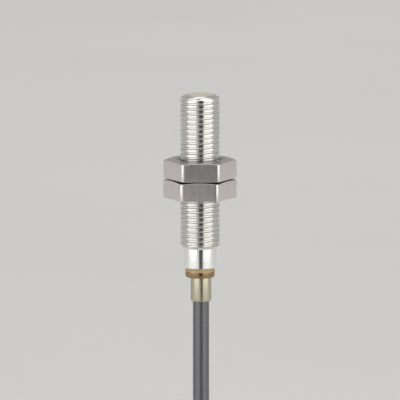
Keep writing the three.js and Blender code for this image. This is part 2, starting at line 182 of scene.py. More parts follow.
def hank_turns():
    """The hank's centreline, from the back layer to the front: inwards, outwards, inwards."""
    visits = []
    for layer, y in enumerate(LAYER_Y):
        radii = LOOP_R if layer % 2 == 0 else LOOP_R[::-1]
        visits += [(r, y) for r in radii]
    points = []
    for i, (r, y) in enumerate(visits):
        if i > 0:
            last_r, last_y = visits[i - 1]
            points += arc(-last_r, r, last_y, y, LOOPS_BOTTOM_Z, down=True)
            points += run(1, r, y, LOOPS_BOTTOM_Z, LOOPS_TOP_Z)
            points += arc(r, -r, y, y, LOOPS_TOP_Z, down=False)
        if i < len(visits) - 1:
            points += run(-1, r, y, LOOPS_TOP_Z, LOOPS_BOTTOM_Z)
    waist_z = (LOOPS_TOP_Z + LOOPS_BOTTOM_Z) / 2
    points += run(-1, LOOP_R[-1], LAYER_Y[-1], LOOPS_TOP_Z, waist_z, RUN_STEPS // 2)
    return points + [Vector((x * MM, LAYER_Y[-1], z * MM)) for x, z in TAIL_ENDS]


def smoothed(points, steps):
    """A Catmull-Rom curve through the points, in that many steps from each to the next."""
    ends = [2 * points[0] - points[1]] + points + [2 * points[-1] - points[-2]]
    curve = []
    for a, b, c, d in zip(ends, ends[1:], ends[2:], ends[3:]):
        square, cube = 2 * a - 5 * b + 4 * c - d, 3 * b - a - 3 * c + d
        for i in range(steps):
            t = i / steps
            curve.append(0.5 * (2 * b + (c - a) * t + square * t**2 + cube * t**3))
    return curve + [points[-1]]


def curve_object(name, points, radius):
    data = bpy.data.curves.new(name, "CURVE")
    data.dimensions = "3D"
    data.bevel_depth = 1.0  # times each point's own radius
    data.bevel_resolution = CABLE_BEVEL
    data.use_fill_caps = True
    spline = data.splines.new("POLY")
    spline.points.add(len(points) - 1)
    for point, place in zip(spline.points, points):
        point.co = (*place, 1)
        point.radius = radius
    spline.use_smooth = True
    made = bpy.data.objects.new(name, data)
    bpy.context.scene.collection.objects.link(made)
    return made


cable_points = smoothed(lead_route() + hank_turns(), STEPS_BETWEEN)
cable = curve_object("sensor_cable", cable_points, CABLE_D / 2)
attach(cable, "housing")
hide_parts("cable_lead", "cable_hank")

# ---- Materials --------------------------------------------------------------------------------

NOISE_LOW, NOISE_HIGH = 0.3, 0.7  # the part of noise's range that a pattern is spread over
MOTTLE, SKIN = 900, 3600  # cells per metre of a plain surface's mottling and of its texture
BLEND = 0.1 * MM  # how softly one zone of a material gives way to the next

BEVEL_SHADE_Z = FACE_Z - 0.45 * MM  # above this the barrel's front bevel is painted darker, a painted shade
GROOVE_R = 3.7 * MM  # inside this the thread's grooves are painted bright, a painted light for light bounced between the flanks
LAND_R = 3.92 * MM  # and outside this its crests are painted darker, a painted shade for the flanks shading each other
NUT_TURNED_R = 7.28 * MM  # from here out the hexagon's corners are turned down and bright
NUT_BRIGHT_R = NUT_TURNED_R + 0.06 * MM
NUT_BORE_SHADE_R = NUT_BORE_R + 0.5 * MM  # inside this the nuts are painted dark round the bore, a painted shadow
NUT_CLEAR_R = NUT_BORE_R + 1.2 * MM
FACING_LOW, FACING_HIGH = 0.8, 0.95  # axial share of the normal at which a surface is an end face
RING_BAND_Z = ring_low.z + 1.25 * MM  # above this the amber ring is matt and painted lighter, a painted highlight of the light from above

# A Mix node's sockets go by number, since their names repeat: the share, then A, B and the result.
MIX_SHARE = 0
MIX_NUMBERS = (2, 3, 0)
MIX_COLOURS = (6, 7, 2)


def coordinate_parts(nodes, links, kind):
    """The X, Y and Z outputs of one kind of texture coordinate."""
    place = nodes.new("ShaderNodeTexCoord")
    parts = nodes.new("ShaderNodeSeparateXYZ")
    links.new(place.outputs[kind], parts.inputs["Vector"])
    return parts.outputs


def map_range(nodes, links, source, low, high, from_value, to_value, easing="LINEAR"):
    """A Map Range node's result: from_value to to_value as source goes from low to high."""
    made = nodes.new("ShaderNodeMapRange")
    made.interpolation_type = easing
    limits = (low, high, from_value, to_value)
    for socket, value in zip(("From Min", "From Max", "To Min", "To Max"), limits):
        made.inputs[socket].default_value = value
    links.new(source, made.inputs["Value"])
    return made.outputs["Result"]


class Finish:
    """A node material: constant values go on the shader's own sockets, patterns are linked in."""

    def __init__(self, name, **sockets):
        self.material = bpy.data.materials.new(name)
        self.material.use_nodes = True
        self.nodes = self.material.node_tree.nodes
        self.links = self.material.node_tree.links
        self.shader = self.nodes["Principled BSDF"]
        for socket, value in sockets.items():
            self.shader.inputs[socket.replace("_", " ")].default_value = value

    def link(self, source, socket):
        self.links.new(source, self.shader.inputs[socket])

    # Patterns, each as the output of a node.

    def noise(self, scale, stretch=(1, 1, 1), detail=3.0):
        """Noise over the object's coordinates. scale is in cells per metre."""
        place = self.nodes.new("ShaderNodeTexCoord")
        mapping = self.nodes.new("ShaderNodeMapping")
        mapping.inputs["Scale"].default_value = stretch
        noise = self.nodes.new("ShaderNodeTexNoise")
        noise.inputs["Scale"].default_value = scale
        noise.inputs["Detail"].default_value = detail
        self.links.new(place.outputs["Object"], mapping.inputs["Vector"])
        self.links.new(mapping.outputs["Vector"], noise.inputs["Vector"])
        return noise.outputs["Fac"]

    def from_axis(self):
        """The distance from the barrel's axis."""
        place = self.nodes.new("ShaderNodeTexCoord")
        flat = self.nodes.new("ShaderNodeVectorMath")
        flat.operation = "MULTIPLY"
        flat.inputs[1].default_value = (1, 1, 0)
        length = self.nodes.new("ShaderNodeVectorMath")
        length.operation = "LENGTH"
        self.links.new(place.outputs["Object"], flat.inputs[0])
        self.links.new(flat.outputs["Vector"], length.inputs[0])
        return length.outputs["Value"]

    def facing_ends(self):
        """1 where the surface faces along the barrel's axis and 0 where it faces sideways."""
        normal = coordinate_parts(self.nodes, self.links, "Normal")
        size = self.nodes.new("ShaderNodeMath")
        size.operation = "ABSOLUTE"
        self.links.new(normal["Z"], size.inputs[0])
        return self.spread(size.outputs[0], FACING_LOW, FACING_HIGH, 0, 1)

    def above(self, z, under=0, over=1):
        """The number over above that height and the number under below it."""
        place = coordinate_parts(self.nodes, self.links, "Object")
        return self.spread(place["Z"], z - BLEND / 2, z + BLEND / 2, under, over)

    def spread(self, source, low, high, from_value, to_value):
        """A number that goes from from_value to to_value as source goes from low to high."""
        return map_range(self.nodes, self.links, source, low, high, from_value, to_value)

    def spread_noise(self, noise, from_value, to_value):
        return self.spread(noise, NOISE_LOW, NOISE_HIGH, from_value, to_value)

    def colours(self, noise, dark, light):
        """A colour that goes from dark to light with a noise."""
        ramp = self.nodes.new("ShaderNodeValToRGB")
        first, last = ramp.color_ramp.elements
        first.position, last.position = NOISE_LOW, NOISE_HIGH
        first.color, last.color = (*dark, 1), (*light, 1)
        self.links.new(noise, ramp.inputs["Fac"])
        return ramp.outputs["Color"]

    def mixed(self, share, source, other, data_type, sockets):
        """source where share is 0, and the constant other where it is 1."""
        first, second, result = sockets
        mix = self.nodes.new("ShaderNodeMix")
        mix.data_type = data_type
        mix.inputs[second].default_value = other
        self.links.new(share, mix.inputs[MIX_SHARE])
        self.links.new(source, mix.inputs[first])
        return mix.outputs[result]

    def mixed_number(self, share, number, other):
        return self.mixed(share, number, other, "FLOAT", MIX_NUMBERS)

    def mixed_colour(self, share, colour, other):
        return self.mixed(share, colour, (*other, 1), "RGBA", MIX_COLOURS)

    # Inputs of the shader.

    def colour(self, source):
        self.link(source, "Base Color")

    def roughness(self, source):
        self.link(source, "Roughness")

    def bump(self, source, height, strength):
        """Relief of that height in metres."""
        bump = self.nodes.new("ShaderNodeBump")
        bump.inputs["Strength"].default_value = strength
        bump.inputs["Distance"].default_value = height
        self.links.new(source, bump.inputs["Height"])
        self.link(bump.outputs["Normal"], "Normal")


def barrel_steel():
    """Thread-rolled stainless steel, turned smooth at its rear end, which keeps the steel's bright
    colour. The thread's crests are painted darker, a painted shade for its flanks shading each
    other; its grooves are painted brighter, a painted light for light bounced between the flanks;
    and the front bevel is painted darker, a painted shade.
    """
    finish = Finish("barrel_steel", Metallic=1.0)
    rings = finish.noise(400, (0.3, 0.3, 30), 2)
    smudges = finish.noise(350, detail=4)
    # painted shade: the thread's crests are darker than the smooth rear steel, for the shade its
    # flanks cast on each other
    crest = finish.colours(smudges, (0.58, 0.565, 0.54), (0.68, 0.67, 0.65))
    # painted light: the thread's grooves are brighter than its crests, for light bounced between
    # the flanks
    painted_groove_light = finish.spread(finish.from_axis(), GROOVE_R, LAND_R, 1, 0)
    threaded = finish.mixed_colour(painted_groove_light, crest, (0.84, 0.83, 0.81))
    # painted shade: the front bevel is darker than the thread
    bevelled = finish.mixed_colour(finish.above(BEVEL_SHADE_Z), threaded, (0.58, 0.57, 0.55))
    smooth_part = finish.above(THREAD_END_Z, under=1, over=0)
    finish.colour(finish.mixed_colour(smooth_part, bevelled, (0.92, 0.915, 0.91)))
    finish.roughness(finish.spread_noise(rings, 0.15, 0.24))
    finish.bump(rings, 0.003 * MM, 0.4)
    return finish.material


def nut_steel():
    """Satin hexagon bar, brushed along its length, with bright turned corners. Its end faces are
    painted darker, a painted shade, and darker still round the bore, a painted shadow.
    """
    finish = Finish("nut_steel", Metallic=1.0)
    grain = finish.noise(900, (14, 14, 0.4), 4)
    satin = finish.colours(grain, (0.68, 0.643, 0.627), (0.77, 0.728, 0.712))
    # painted shade: the end faces are darker than the flats
    shaded_ends = finish.mixed_colour(finish.facing_ends(), satin, (0.40, 0.38, 0.37))
    # painted shadow: a dark ring on the end faces round the bore
    bore_shade = finish.spread(finish.from_axis(), NUT_BORE_SHADE_R, NUT_CLEAR_R, 1, 0)
    with_bore_shade = finish.mixed_colour(bore_shade, shaded_ends, (0.2, 0.19, 0.185))
    turned_part = finish.spread(finish.from_axis(), NUT_TURNED_R, NUT_BRIGHT_R, 0, 1)
    finish.colour(finish.mixed_colour(turned_part, with_bore_shade, (0.68, 0.665, 0.64)))
    brushed = finish.spread_noise(grain, 0.27, 0.35)
    finish.roughness(finish.mixed_number(turned_part, brushed, 0.22))
    finish.bump(grain, 0.003 * MM, 0.35)
    return finish.material


def ring_amber():
    """Clear amber plastic whose upper part is matt and painted lighter: a painted highlight of the
    light from above.
    """
    finish = Finish("ring_amber", IOR=3.0, Specular_Tint=(1.0, 0.78, 0.45, 1))
    # painted highlight: the upper part is lighter, for the light from above
    matt_lit_band = finish.above(RING_BAND_Z)
    clear = finish.colours(finish.noise(MOTTLE), (0.065, 0.044, 0.01), (0.09, 0.062, 0.016))
    finish.colour(finish.mixed_colour(matt_lit_band, clear, (0.355, 0.257, 0.135)))
    finish.roughness(finish.spread(matt_lit_band, 0, 1, 0.17, 0.55))
    finish.bump(finish.noise(SKIN, detail=4), 0.002 * MM, 0.5)
    return finish.material


def plain(name, dark, light, smooth, rough, relief=0.004, **sockets):
    """One colour, faintly mottled, with a fine skin texture. relief is in millimetres."""
    finish = Finish(name, **sockets)
    skin = finish.noise(SKIN, detail=4)
    finish.colour(finish.colours(finish.noise(MOTTLE), dark, light))
    finish.roughness(finish.spread_noise(skin, smooth, rough))
    finish.bump(skin, relief * MM, 0.5)
    return finish.material


MATERIALS = {
    "barrel_steel": barrel_steel(),
    "nut_steel": nut_steel(),
    "face_plastic": plain("face_plastic", (0.42, 0.385, 0.31), (0.47, 0.43, 0.35), 0.5, 0.65),
    "ring_amber": ring_amber(),
    "sleeve_rubber": plain(
        "sleeve_rubber", (0.066, 0.061, 0.033), (0.08, 0.074, 0.041), 0.23, 0.26, relief=0.0005,
        IOR=3.0, Specular_IOR_Level=1.0, Specular_Tint=(1.0, 0.93, 0.73, 1),
    ),
    "cable_sheath": plain(
        "cable_sheath", (0.034, 0.034, 0.045), (0.045, 0.045, 0.056), 0.24, 0.34,
        IOR=1.75, Specular_IOR_Level=0.9,
    ),
    "tie_nylon": plain("tie_nylon", (0.012, 0.012, 0.013), (0.02, 0.02, 0.021), 0.35, 0.5),
    "ferrite": plain("ferrite", (0.014, 0.014, 0.015), (0.03, 0.03, 0.031), 0.6, 0.8, relief=0.01),
    "bobbin_nylon": plain("bobbin_nylon", (0.70, 0.67, 0.58), (0.77, 0.74, 0.66), 0.4, 0.55),
    "copper": plain("copper", (0.45, 0.14, 0.05), (0.62, 0.24, 0.10), 0.2, 0.35, Metallic=1.0),
    "board_laminate": plain("board_laminate", (0.015, 0.10, 0.035), (0.03, 0.16, 0.06), 0.25, 0.4),
    "chip_black": plain("chip_black", (0.010, 0.010, 0.011), (0.02, 0.02, 0.021), 0.45, 0.6),
    "ceramic_tan": plain("ceramic_tan", (0.30, 0.18, 0.09), (0.38, 0.25, 0.13), 0.4, 0.55),
    "led_amber": plain("led_amber", (0.80, 0.50, 0.10), (0.90, 0.62, 0.18), 0.1, 0.2),
    "potting_resin": plain("potting_resin", (0.03, 0.025, 0.02), (0.05, 0.042, 0.034), 0.15, 0.3),
    "core_brown": plain("core_brown", (0.085, 0.032, 0.013), (0.12, 0.048, 0.02), 0.3, 0.4),
    "core_blue": plain("core_blue", (0.012, 0.07, 0.30), (0.02, 0.10, 0.38), 0.3, 0.4),
    "core_black": plain("core_black", (0.008, 0.008, 0.009), (0.016, 0.016, 0.017), 0.3, 0.4),
    "ferrule_tinned": plain(
        "ferrule_tinned", (0.60, 0.60, 0.58), (0.72, 0.72, 0.70), 0.25, 0.4, Metallic=1.0
    ),
}


def dress(piece, slot_name):
    piece.data.materials.clear()
    piece.data.materials.append(MATERIALS[slot_name])


slot_of = {part["node"]: part["material_slot"] for part in frame["record"]["subparts"]}
for node_name, node_object in frame["nodes"].items():
    dress(node_object, slot_of[node_name])
dress(cable, "cable_sheath")

# ---- Mesh tools -------------------------------------------------------------------------------

SHARP = math.radians(32)  # an edge that turns by more than this is shaded sharp
MERGE_GAP = 1e-7  # points closer than this become one
SHORTEST_EDGE = 1e-8
NEARLY_STRAIGHT = math.pi / 2 - 0.01  # half a corner's angle, above which it isn't rounded
TURNED_SIDES = 96


def mesh_piece(name, node, solid, slot_name, body="housing"):
    """A piece that stands for a CAD node: doubles merged, faces out, sharp edges marked."""
    vertices, faces = solid
    mesh = bpy.data.meshes.new(name)
    mesh.from_pydata(vertices, [], faces)
    work = bmesh.new()
    work.from_mesh(mesh)
    bmesh.ops.remove_doubles(work, verts=work.verts, dist=MERGE_GAP)
    bmesh.ops.dissolve_degenerate(work, edges=work.edges, dist=SHORTEST_EDGE)
    bmesh.ops.recalc_face_normals(work, faces=work.faces)
    for face in work.faces:
        face.smooth = True
    for edge in work.edges:
        if len(edge.link_faces) == 2 and edge.calc_face_angle() > SHARP:
            edge.smooth = False
    work.to_mesh(mesh)
    work.free()
    made = bpy.data.objects.new(name, mesh)
    bpy.context.scene.collection.objects.link(made)
    dress(made, slot_name)
    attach(made, body)
    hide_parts(node)
    return made


def swept(columns):
    """A solid from columns of points, a grid that closes on itself both ways."""
    count, rows = len(columns), len(columns[0])
    vertices = [point for column in columns for point in column]
    faces = []
    for i in range(count):
        near, far = i * rows, (i + 1) % count * rows
        for j in range(rows):
            k = (j + 1) % rows
            faces.append((near + j, far + j, far + k, near + k))
    return vertices, faces


def turned(outline, sides):
    """A turned solid from a closed outline of (radius, z) points, which may touch the axis."""
    columns = []
    for i in range(sides):
        angle = TAU * i / sides
        columns.append([(r * math.cos(angle), r * math.sin(angle), z) for r, z in outline])
    return swept(columns)


def rounded(corners, steps=4):
    """An outline of (radius, z) points, from corners with their rounding as a third value."""
    outline = []
    places = [Vector(corner[:2]) for corner in corners]
    for i, (here, (*_, r)) in enumerate(zip(places, corners)):
        before, after = places[i - 1], places[(i + 1) % len(places)]
        to_before, to_after = (before - here).normalized(), (after - here).normalized()
        half = to_before.angle(to_after) / 2
        if r <= 0 or half > NEARLY_STRAIGHT:
            outline.append((here.x, here.y))
            continue
        back = r / math.tan(half)
        start, end = here + to_before * back, here + to_after * back
        for step in range(steps + 1):
            t = step / steps
            point = (1 - t) ** 2 * start + 2 * t * (1 - t) * here + t**2 * end
            outline.append((point.x, point.y))
    return outline


def lofted(rings):
    """A solid through rings of points, one after the other, closed at both ends."""
    count = len(rings[0])
    vertices = [point for ring in rings for point in ring]
    faces = []
    last = (len(rings) - 1) * count
    for low in range(0, last, count):
        high = low + count
        for i in range(count):
            j = (i + 1) % count
            faces.append((low + i, low + j, high + j, high + i))
    faces += [tuple(range(count)), tuple(range(last, last + count))]
    return vertices, faces


def moved(solid, x, y=0):
    """The solid again, that much further right and back."""
    vertices, faces = solid
    return [(x + vertex_x, y + vertex_y, z) for vertex_x, vertex_y, z in vertices], faces


def together(*solids):
    """Several solids as one."""
    vertices, faces = [], []
    for more_vertices, more_faces in solids:
        faces += [tuple(len(vertices) + i for i in face) for face in more_faces]
        vertices += more_vertices
    return vertices, faces


# ---- Barrel -----------------------------------------------------------------------------------

ROOT_R = 3.6 * MM
THREAD_END_CHAMFER = 0.6 * MM
FACE_R = 2.95 * MM
FRONT_CHAMFER = 0.5 * MM
TAIL_R = 3.35 * MM
BORE_R = 2.72 * MM
TAIL_EDGE = 0.12 * MM
THREAD_SIDES = 112
CREST_SHARE = 0.54  # flat part of the crest, as a share of the pitch
ROOT_SHARE = 0.08  # flat part of the root
CORNER_SHARPNESS = 12  # of the thread's own profile: higher is sharper
ROWS_PER_TURN = 20


def soft_clamp(t):
    """t held between 0 and 1, with no kink where it levels off."""
    k = CORNER_SHARPNESS
    return (math.log1p(math.exp(k * t)) - math.log1p(math.exp(k * (t - 1)))) / k


def thread_profile(share):
    """The thread's radius at a share of the pitch: the root at 0, the crest round 0.5."""
    from_crest = abs(share - 0.5)
    flank_start, flank_end = 0.5 - ROOT_SHARE / 2, CREST_SHARE / 2
    climb = (flank_start - from_crest) / (flank_start - flank_end)
    return ROOT_R + (CREST_R - ROOT_R) * soft_clamp(climb)


def thread_envelope(z):
    """The most radius the barrel may have at a height: its two chamfers."""
    front = FACE_R + (CREST_R - FACE_R) * (FACE_Z - z) / FRONT_CHAMFER
    rear = TAIL_R + (CREST_R - TAIL_R) * (z - THREAD_END_Z) / THREAD_END_CHAMFER
    return min(CREST_R, front, rear)


def barrel_faces(rows, thread_rows):
    """Faces between the columns. Over the seam each thread row meets the row one turn on."""

    def across(i, row):
        if i < THREAD_SIDES - 1:
            return (i + 1) * rows + row
        return min(row + ROWS_PER_TURN, thread_rows - 1) if row < thread_rows else row

    faces = []
    for i in range(THREAD_SIDES):
        near = i * rows
        for j in range(rows):
            k = (j + 1) % rows
            faces.append((near + j, across(i, j), across(i, k), near + k))
    return faces


def make_barrel():
    """A continuous helical thread that runs out at both ends, and the bore and rear section."""
    # The last two corners are where the thread begins and ends, so its own rows stand for them.
    rest = rounded(
        [
            (BORE_R, FACE_Z, 0.05 * MM),
            (BORE_R, TAIL_Z, 0),
            (TAIL_R - TAIL_EDGE, TAIL_Z, 0.04 * MM),
            (TAIL_R, TAIL_Z + TAIL_EDGE, 0.05 * MM),
            (TAIL_R, THREAD_END_Z, 0),
            (FACE_R, FACE_Z, 0),
        ]
    )[:-2]
    turns = math.ceil((FACE_Z - THREAD_END_Z) / PITCH) + 2  # one more at each end
    thread_rows = turns * ROWS_PER_TURN
    columns = []
    for i in range(THREAD_SIDES):
        angle = TAU * i / THREAD_SIDES
        cos, sin = math.cos(angle), math.sin(angle)
        column = []
        for j in range(thread_rows):
            turn = j / ROWS_PER_TURN - 1
            z = THREAD_END_Z + PITCH * (turn + i / THREAD_SIDES)
            z = min(max(z, THREAD_END_Z), FACE_Z)
            share = (j % ROWS_PER_TURN) / ROWS_PER_TURN
            r = min(thread_profile(share), thread_envelope(z))
            column.append((r * cos, r * sin, z))
        column += [(r * cos, r * sin, z) for r, z in rest]
        columns.append(column)
    vertices = [point for column in columns for point in column]
    faces = barrel_faces(len(columns[0]), thread_rows)
    mesh_piece("threaded_barrel", "housing_barrel", (vertices, faces), "barrel_steel")


make_barrel()

# ---- Face -------------------------------------------------------------------------------------

SKIRT_R = 2.32 * MM
DISC_UNDERSIDE_Z = 16.6 * MM
DISC_EDGE = 0.12 * MM


def make_face():
    """The moulded front disc, its skirt inside the barrel."""
    outline = rounded(
        [
            (SKIRT_R, cap_low.z, 0),
            (BORE_R, cap_low.z, 0),
            (BORE_R, cap_high.z, DISC_EDGE),
            (0, cap_high.z, 0),
            (0, DISC_UNDERSIDE_Z, 0),
            (SKIRT_R, DISC_UNDERSIDE_Z, 0),
        ]
    )
    disc = turned(outline, TURNED_SIDES)
    mesh_piece("face_disc", "sensing_face_cap", disc, "face_plastic")


make_face()

# ---- Nuts -------------------------------------------------------------------------------------

ACROSS_FLATS = 13.0 * MM
CORNER_R = 7.38 * MM  # to which the hexagon's corners are turned down
NUT_FACE_R = 6.2 * MM  # where the flat upper end meets its chamfer
NUT_CHAMFER = math.radians(15)
NUT_LEAD_IN = 0.3 * MM  # chamfer at each end of the bore
NUT_GROWTH = 0.06 * MM  # each nut's inner face stands this far into the gap between the two
NUT_EDGE = 0.1 * MM
LEAD_IN_EDGE = 0.05 * MM
NUT_BORE_EDGE = 0.03 * MM
CORNER_EASE = 0.04 * MM  # how softly the flats pass into the turned corners
CORNER_HALF = math.radians(5)  # half of what the corners' own columns take up
FLAT_COLUMNS = 10
CORNER_COLUMNS = 8
FRONT_NUT_TURN = math.radians(1.1)
REAR_NUT_TURN = math.radians(-1.5)


def nut_outer_r(angle):
    """The hexagon's radius, with its corners turned down and the edges between eased."""
    from_flat = (angle + math.pi / 6) % (math.pi / 3) - math.pi / 6
    hexagon = ACROSS_FLATS / 2 / math.cos(from_flat)
    over = (hexagon - CORNER_R) / CORNER_EASE
    return -CORNER_EASE * math.log(math.exp(-over) + 1) + CORNER_R


def nut_angles():
    """The directions of a nut's columns: along each flat, then round its corner."""

    def from_to(start, span, count):
        return [start + span * i / count for i in range(count)]

    half_flat = math.pi / 6 - CORNER_HALF
    angles = []
    for side in range(6):
        middle = side * math.pi / 3
        angles += from_to(middle - half_flat, 2 * half_flat, FLAT_COLUMNS)
        angles += from_to(middle + half_flat, 2 * CORNER_HALF, CORNER_COLUMNS)
    return angles


def make_nut(name, node, turn):
    """A lock nut: chamfered outside at its upper end, countersunk bore, all its edges eased."""
    low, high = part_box(node)
    if low.z > 0:
        low.z -= NUT_GROWTH
    else:
        high.z += NUT_GROWTH
    slope = math.tan(NUT_CHAMFER)
    columns = []
    for angle in nut_angles():
        outer = nut_outer_r(angle)
        drop = (outer - NUT_FACE_R) * slope
        outline = rounded(
            [
                (NUT_BORE_R, low.z + NUT_LEAD_IN, NUT_BORE_EDGE),
                (NUT_BORE_R + NUT_LEAD_IN, low.z, LEAD_IN_EDGE),
                (outer, low.z, NUT_EDGE),
                (outer, high.z - drop, NUT_EDGE),
                (NUT_FACE_R, high.z, NUT_EDGE),
                (NUT_BORE_R + NUT_LEAD_IN, high.z, LEAD_IN_EDGE),
                (NUT_BORE_R, high.z - NUT_LEAD_IN, NUT_BORE_EDGE),
            ]
        )
        facing = angle + turn - math.pi / 2  # the first flat's middle faces the camera's side
        columns.append([(r * math.cos(facing), r * math.sin(facing), z) for r, z in outline])
    mesh_piece(name, node, swept(columns), "nut_steel", body=node)


make_nut("front_lock_nut", "upper_nut", FRONT_NUT_TURN)
make_nut("rear_lock_nut", "lower_nut", REAR_NUT_TURN)

# ---- Ring and sleeve --------------------------------------------------------------------------

RING_BORE_R = 2.4 * MM
SPIGOT_R = 2.6 * MM  # the ring's neck, inside the barrel
SHOULDER_Z = TAIL_Z - 0.02 * MM
SHOULDER_TALL, SHOULDER_DEEP = 0.65 * MM, 0.2 * MM  # its taper below the barrel
SLEEVE_R = (sleeve_high.x - sleeve_low.x) / 2
SLEEVE_BORE_R = CABLE_D / 2 + 0.02 * MM


def make_ring():
    outline = rounded(
        [
            (RING_BORE_R, ring_low.z, 0.1 * MM),
            (ring_high.x, ring_low.z, 0.45 * MM),
            (ring_high.x, SHOULDER_Z - SHOULDER_TALL, 0.25 * MM),
            (ring_high.x - SHOULDER_DEEP, SHOULDER_Z, 0.05 * MM),
            (SPIGOT_R, SHOULDER_Z, 0),
            (SPIGOT_R, ring_high.z, 0.05 * MM),
            (RING_BORE_R, ring_high.z, 0),
        ]
    )
    mesh_piece("amber_light_ring", "light_ring", turned(outline, TURNED_SIDES), "ring_amber")


def make_sleeve():
    outline = rounded(
        [
            (SLEEVE_BORE_R, sleeve_low.z, 0.08 * MM),
            (SLEEVE_R, sleeve_low.z, 0.28 * MM),
            (SLEEVE_R, sleeve_high.z, 0.1 * MM),
            (SLEEVE_BORE_R, sleeve_high.z, 0),
        ]
    )
    sleeve = moved(turned(outline, TURNED_SIDES), CABLE_X)
    mesh_piece("moulded_sleeve", "cable_sleeve", sleeve, "sleeve_rubber")


make_ring()
make_sleeve()

# ---- Tie round the hank -----------------------------------------------------------------------

STRAP_T = 1.0 * MM
STRAP_W = 2.5 * MM
STRAP_EDGE = 0.2 * MM
STRAP_CORNER_R = 1.5 * MM  # inside
STRAP_CORNER_STEPS = 8
STRAP_ROOM = 0.03 * MM  # between the strap's ribs and the runs
RIB = 0.12 * MM
RIB_PITCH = 0.8 * MM
RIB_COLUMNS = 4  # for each rib and the gap beside it; half of them are raised
TIE_HEAD = (4.4 * MM, 2.6 * MM, 4.4 * MM)  # width, depth and height
HEAD_CORNER_R = 0.5 * MM
HEAD_EDGE = 0.3 * MM
HEAD_TAPER = 0.15 * MM  # by which the head's front is smaller than its back, on each side
TIE_SLOT = (1.3 * MM, 2.8 * MM)  # width and height
SLOT_CORNER_R = 0.1 * MM
SLOT_LEAD_IN = 0.15 * MM
SLOT_DEEP = 0.7 * MM
CUT_END_CORNER_R = 0.15 * MM
CUT_END_EDGE = 0.07 * MM
CUT_END_BACK = 0.05 * MM  # from the head's front


def round_rectangle(half_x, half_z, r, steps=5):
    """Points round a rectangle with rounded corners, as (x, z) pairs."""
    points = []
    for quarter, (x, z) in enumerate([(1, 1), (-1, 1), (-1, -1), (1, -1)]):
        centre_x, centre_z = x * (half_x - r), z * (half_z - r)
        for step in range(steps + 1):
            angle = math.pi / 2 * (quarter + step / steps)
            points.append((centre_x + r * math.cos(angle), centre_z + r * math.sin(angle)))
    return points


def along(path, every):
    """The closed path again, with points no further apart than that."""
    points = []
    for (x0, y0), (x1, y1) in zip(path, path[1:] + path[:1]):
        count = max(1, math.ceil(math.dist((x0, y0), (x1, y1)) / every))
        for i in range(count):
            points.append((x0 + (x1 - x0) * i / count, y0 + (y1 - y0) * i / count))
    return points


def strap(half_x, half_y, z):
    """The tie's band as a solid, ribbed inside: a flat section swept round the runs."""
    half_t = STRAP_T / 2
    middle = round_rectangle(
        half_x + half_t, half_y + half_t, STRAP_CORNER_R + half_t, STRAP_CORNER_STEPS
    )
    path = along(middle, RIB_PITCH / RIB_COLUMNS)
    columns = []
    for i, (x, y) in enumerate(path):
        (x0, y0), (x1, y1) = path[i - 1], path[(i + 1) % len(path)]
        long = math.hypot(x1 - x0, y1 - y0)
        out_x, out_y = (y1 - y0) / long, -(x1 - x0) / long
        raised = RIB if i % RIB_COLUMNS < RIB_COLUMNS / 2 else 0
        section = rounded(
            [
                (half_t, STRAP_W / 2, STRAP_EDGE),
                (half_t, -STRAP_W / 2, STRAP_EDGE),
                (RIB - half_t - raised, STRAP_EDGE - STRAP_W / 2, 0),
                (RIB - half_t - raised, STRAP_W / 2 - STRAP_EDGE, 0),
            ],
            steps=2,
        )
        columns.append([(x + out * out_x, y + out * out_y, z + up) for out, up in section])
    return swept(columns)


def make_tie():
    """The strap, its lock head in front, and its cut end standing in the head's slot."""
    half_x = LOOP_R[0] - PINCH + CABLE_D / 2 + STRAP_ROOM
    half_y = LAYER_Y[0] + CABLE_D / 2 + STRAP_ROOM
    waist_z = (tie_low.z + tie_high.z) / 2
    head_x, head_z = TIE_HEAD[0] / 2, TIE_HEAD[2] / 2
    slot_x, slot_z = TIE_SLOT[0] / 2, TIE_SLOT[1] / 2
    front_y = tie_low.y
    back_y = front_y + TIE_HEAD[1]

    def ring(y, half_width, half_height, r, inset=0):
        outline = round_rectangle(half_width - inset, half_height - inset, r)
        return [(x, y, waist_z + z) for x, z in outline]

    front_x, front_z = head_x - HEAD_TAPER, head_z - HEAD_TAPER
    eased_edge = HEAD_EDGE * 0.3
    head = lofted(
        [
            ring(back_y, head_x, head_z, HEAD_CORNER_R, HEAD_EDGE),
            ring(back_y - HEAD_EDGE, head_x, head_z, HEAD_CORNER_R),
            ring(front_y + HEAD_EDGE, front_x, front_z, HEAD_CORNER_R),
            ring(front_y + eased_edge, front_x, front_z, HEAD_CORNER_R, eased_edge),
            ring(front_y, front_x, front_z, HEAD_CORNER_R, HEAD_EDGE),
            ring(front_y, slot_x, slot_z, 2 * SLOT_CORNER_R, -SLOT_LEAD_IN),
            ring(front_y + SLOT_LEAD_IN, slot_x, slot_z, SLOT_CORNER_R),
            ring(front_y + SLOT_DEEP, slot_x, slot_z, SLOT_CORNER_R),
        ]
    )
    end_x, end_z = STRAP_T / 2, STRAP_W / 2
    end_y = front_y + CUT_END_BACK
    cut_end = lofted(
        [
            ring(front_y + SLOT_DEEP + 0.1 * MM, end_x, end_z, CUT_END_CORNER_R),
            ring(end_y + CUT_END_EDGE, end_x, end_z, CUT_END_CORNER_R),
            ring(end_y, end_x, end_z, 0.1 * MM, CUT_END_EDGE),
        ]
    )
    tie = together(strap(half_x, half_y, waist_z), head, cut_end)
    return mesh_piece("hank_tie", "cable_tie", tie, "tie_nylon")


# ---- Core ends --------------------------------------------------------------------------------

CORES = {"brown": -1, "blue": 0, "black": 1}  # each colour's side of the middle
CORE_R = 0.55 * MM
CORE_CLOSE_X = 0.95 * MM  # from the middle to the outer cores, where they leave the sheath
CORE_SPREAD_X = 4 * MM  # and at their ends
CORE_IN_SHEATH = 0.4 * MM
CORE_IN_FERRULE = 0.1 * MM
CORE_EDGE = 0.12 * MM
CORE_STEPS = 24
CORE_SIDES = 24

